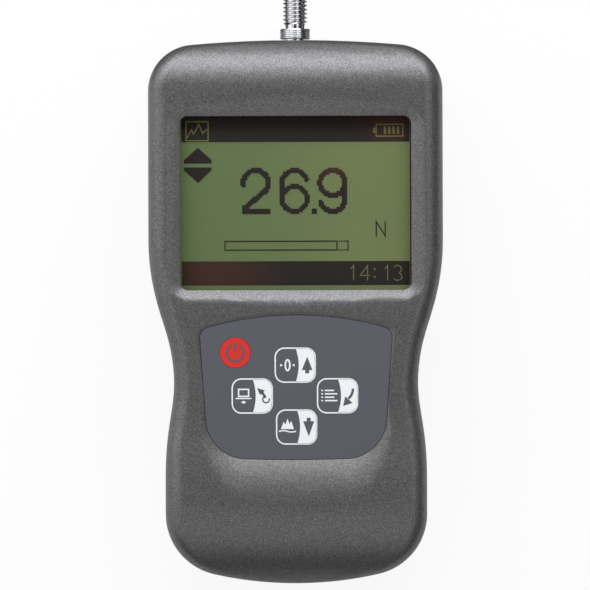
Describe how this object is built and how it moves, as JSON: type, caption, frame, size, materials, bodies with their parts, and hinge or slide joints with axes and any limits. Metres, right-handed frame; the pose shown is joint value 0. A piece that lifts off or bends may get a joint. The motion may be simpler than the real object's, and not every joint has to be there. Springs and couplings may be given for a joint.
{
  "type": "digital force gauge",
  "caption": "Hand-held digital force gauge: waisted two-part case, graphic display, membrane keypad and a threaded measuring stud on an S-shaped load cell.",
  "frame": {"origin": "on the flat back face, on the case's centre line, halfway along the case", "axes": "+Z out of the display, +Y along the measuring stud and away from the case, +X to the right as the display is read"},
  "size_m": [0.072, 0.1483, 0.034],
  "materials": {
    "housing": "dark grey metallic paint with a fine grain over moulded plastic",
    "overlay": "printed matt film",
    "key_film": "printed matt film",
    "power_film": "printed matt film",
    "clear": "clear hard-coated window",
    "adhesive": "black foam tape",
    "steel": "turned stainless steel",
    "screw_steel": "plated screws",
    "insert_brass": "knurled brass",
    "seal_rubber": "soft black rubber",
    "cell_alloy": "milled and anodised",
    "bracket_alloy": "milled",
    "foil": "polyimide foil",
    "board": "green solder mask",
    "chip": "black moulding compound",
    "connector": "natural nylon",
    "buzzer_black": "black",
    "lcd": "green display glass",
    "backlight": "white light guide",
    "bezel_steel": "black-passivated sheet",
    "nickel": "nickel strip",
    "battery_sleeve": "shrink sleeve",
    "tray_plastic": "black moulded plastic",
    "lead_sheath": "soft sheath",
    "circuit_film": "printed polyester film",
    "dome_steel": "stainless spring sheet",
    "socket_steel": "stamped and plated"
  },
  "bodies": {
    "gauge": {"front_housing": "housing", "rear_housing": "housing", "housing_screws": "screw_steel", "mounting_inserts": "insert_brass", "display_window": "clear", "window_tape": "adhesive", "lcd_bezel": "bezel_steel", "lcd_glass": "lcd", "lcd_backlight": "backlight", "lcd_board": "board", "lcd_ribbon": "circuit_film", "lcd_screws": "screw_steel", "keypad_overlay": "overlay", "keypad_spacer": "circuit_film", "snap_domes": "dome_steel", "keypad_circuit": "circuit_film", "shaft_seal": "seal_rubber", "load_cell": "cell_alloy", "strain_gauges": "foil", "load_cell_lead": "lead_sheath", "cell_anchor": "bracket_alloy", "cell_bolt": "screw_steel", "anchor_screws": "screw_steel", "main_board": "board", "board_screws": "screw_steel", "processor": "chip", "board_chips": "chip", "board_connectors": "connector", "buzzer": "buzzer_black", "coin_cell": "nickel", "coin_cell_holder": "tray_plastic", "socket_shell": "socket_steel", "socket_tongue": "chip", "battery_cells": "battery_sleeve", "battery_tray": "tray_plastic", "battery_strips": "nickel", "battery_lead": "lead_sheath"},
    "stud": {"force_stud": "steel", "stud_collar": "steel", "stud_nut": "screw_steel"},
    "power_key": {"key_power": "power_film"},
    "zero_key": {"key_zero": "key_film"},
    "transmit_key": {"key_transmit": "key_film"},
    "menu_key": {"key_menu": "key_film"},
    "peak_key": {"key_peak": "key_film"}
  },
  "joints": [
    {"name": "stud_travel", "type": "slide", "parent": "gauge", "child": "stud", "axis": [0, 1, 0], "range_m": [-0.0002, 0.0002], "stiffness_N_per_m": 20000, "deforming": ["load_cell"]},
    {"name": "power_press", "type": "slide", "parent": "gauge", "child": "power_key", "axis": [0, 0.0624, -0.9981], "range_m": [0, 0.0003], "stiffness_N_per_m": 2000, "deforming": ["snap_domes"]},
    {"name": "zero_press", "type": "slide", "parent": "gauge", "child": "zero_key", "axis": [0, 0.0624, -0.9981], "range_m": [0, 0.0003], "stiffness_N_per_m": 2000, "deforming": ["snap_domes"]},
    {"name": "transmit_press", "type": "slide", "parent": "gauge", "child": "transmit_key", "axis": [0, 0.0624, -0.9981], "range_m": [0, 0.0003], "stiffness_N_per_m": 2000, "deforming": ["snap_domes"]},
    {"name": "menu_press", "type": "slide", "parent": "gauge", "child": "menu_key", "axis": [0, 0.0624, -0.9981], "range_m": [0, 0.0003], "stiffness_N_per_m": 2000, "deforming": ["snap_domes"]},
    {"name": "peak_press", "type": "slide", "parent": "gauge", "child": "peak_key", "axis": [0, 0.0624, -0.9981], "range_m": [0, 0.0003], "stiffness_N_per_m": 2000, "deforming": ["snap_domes"]}
  ]
}
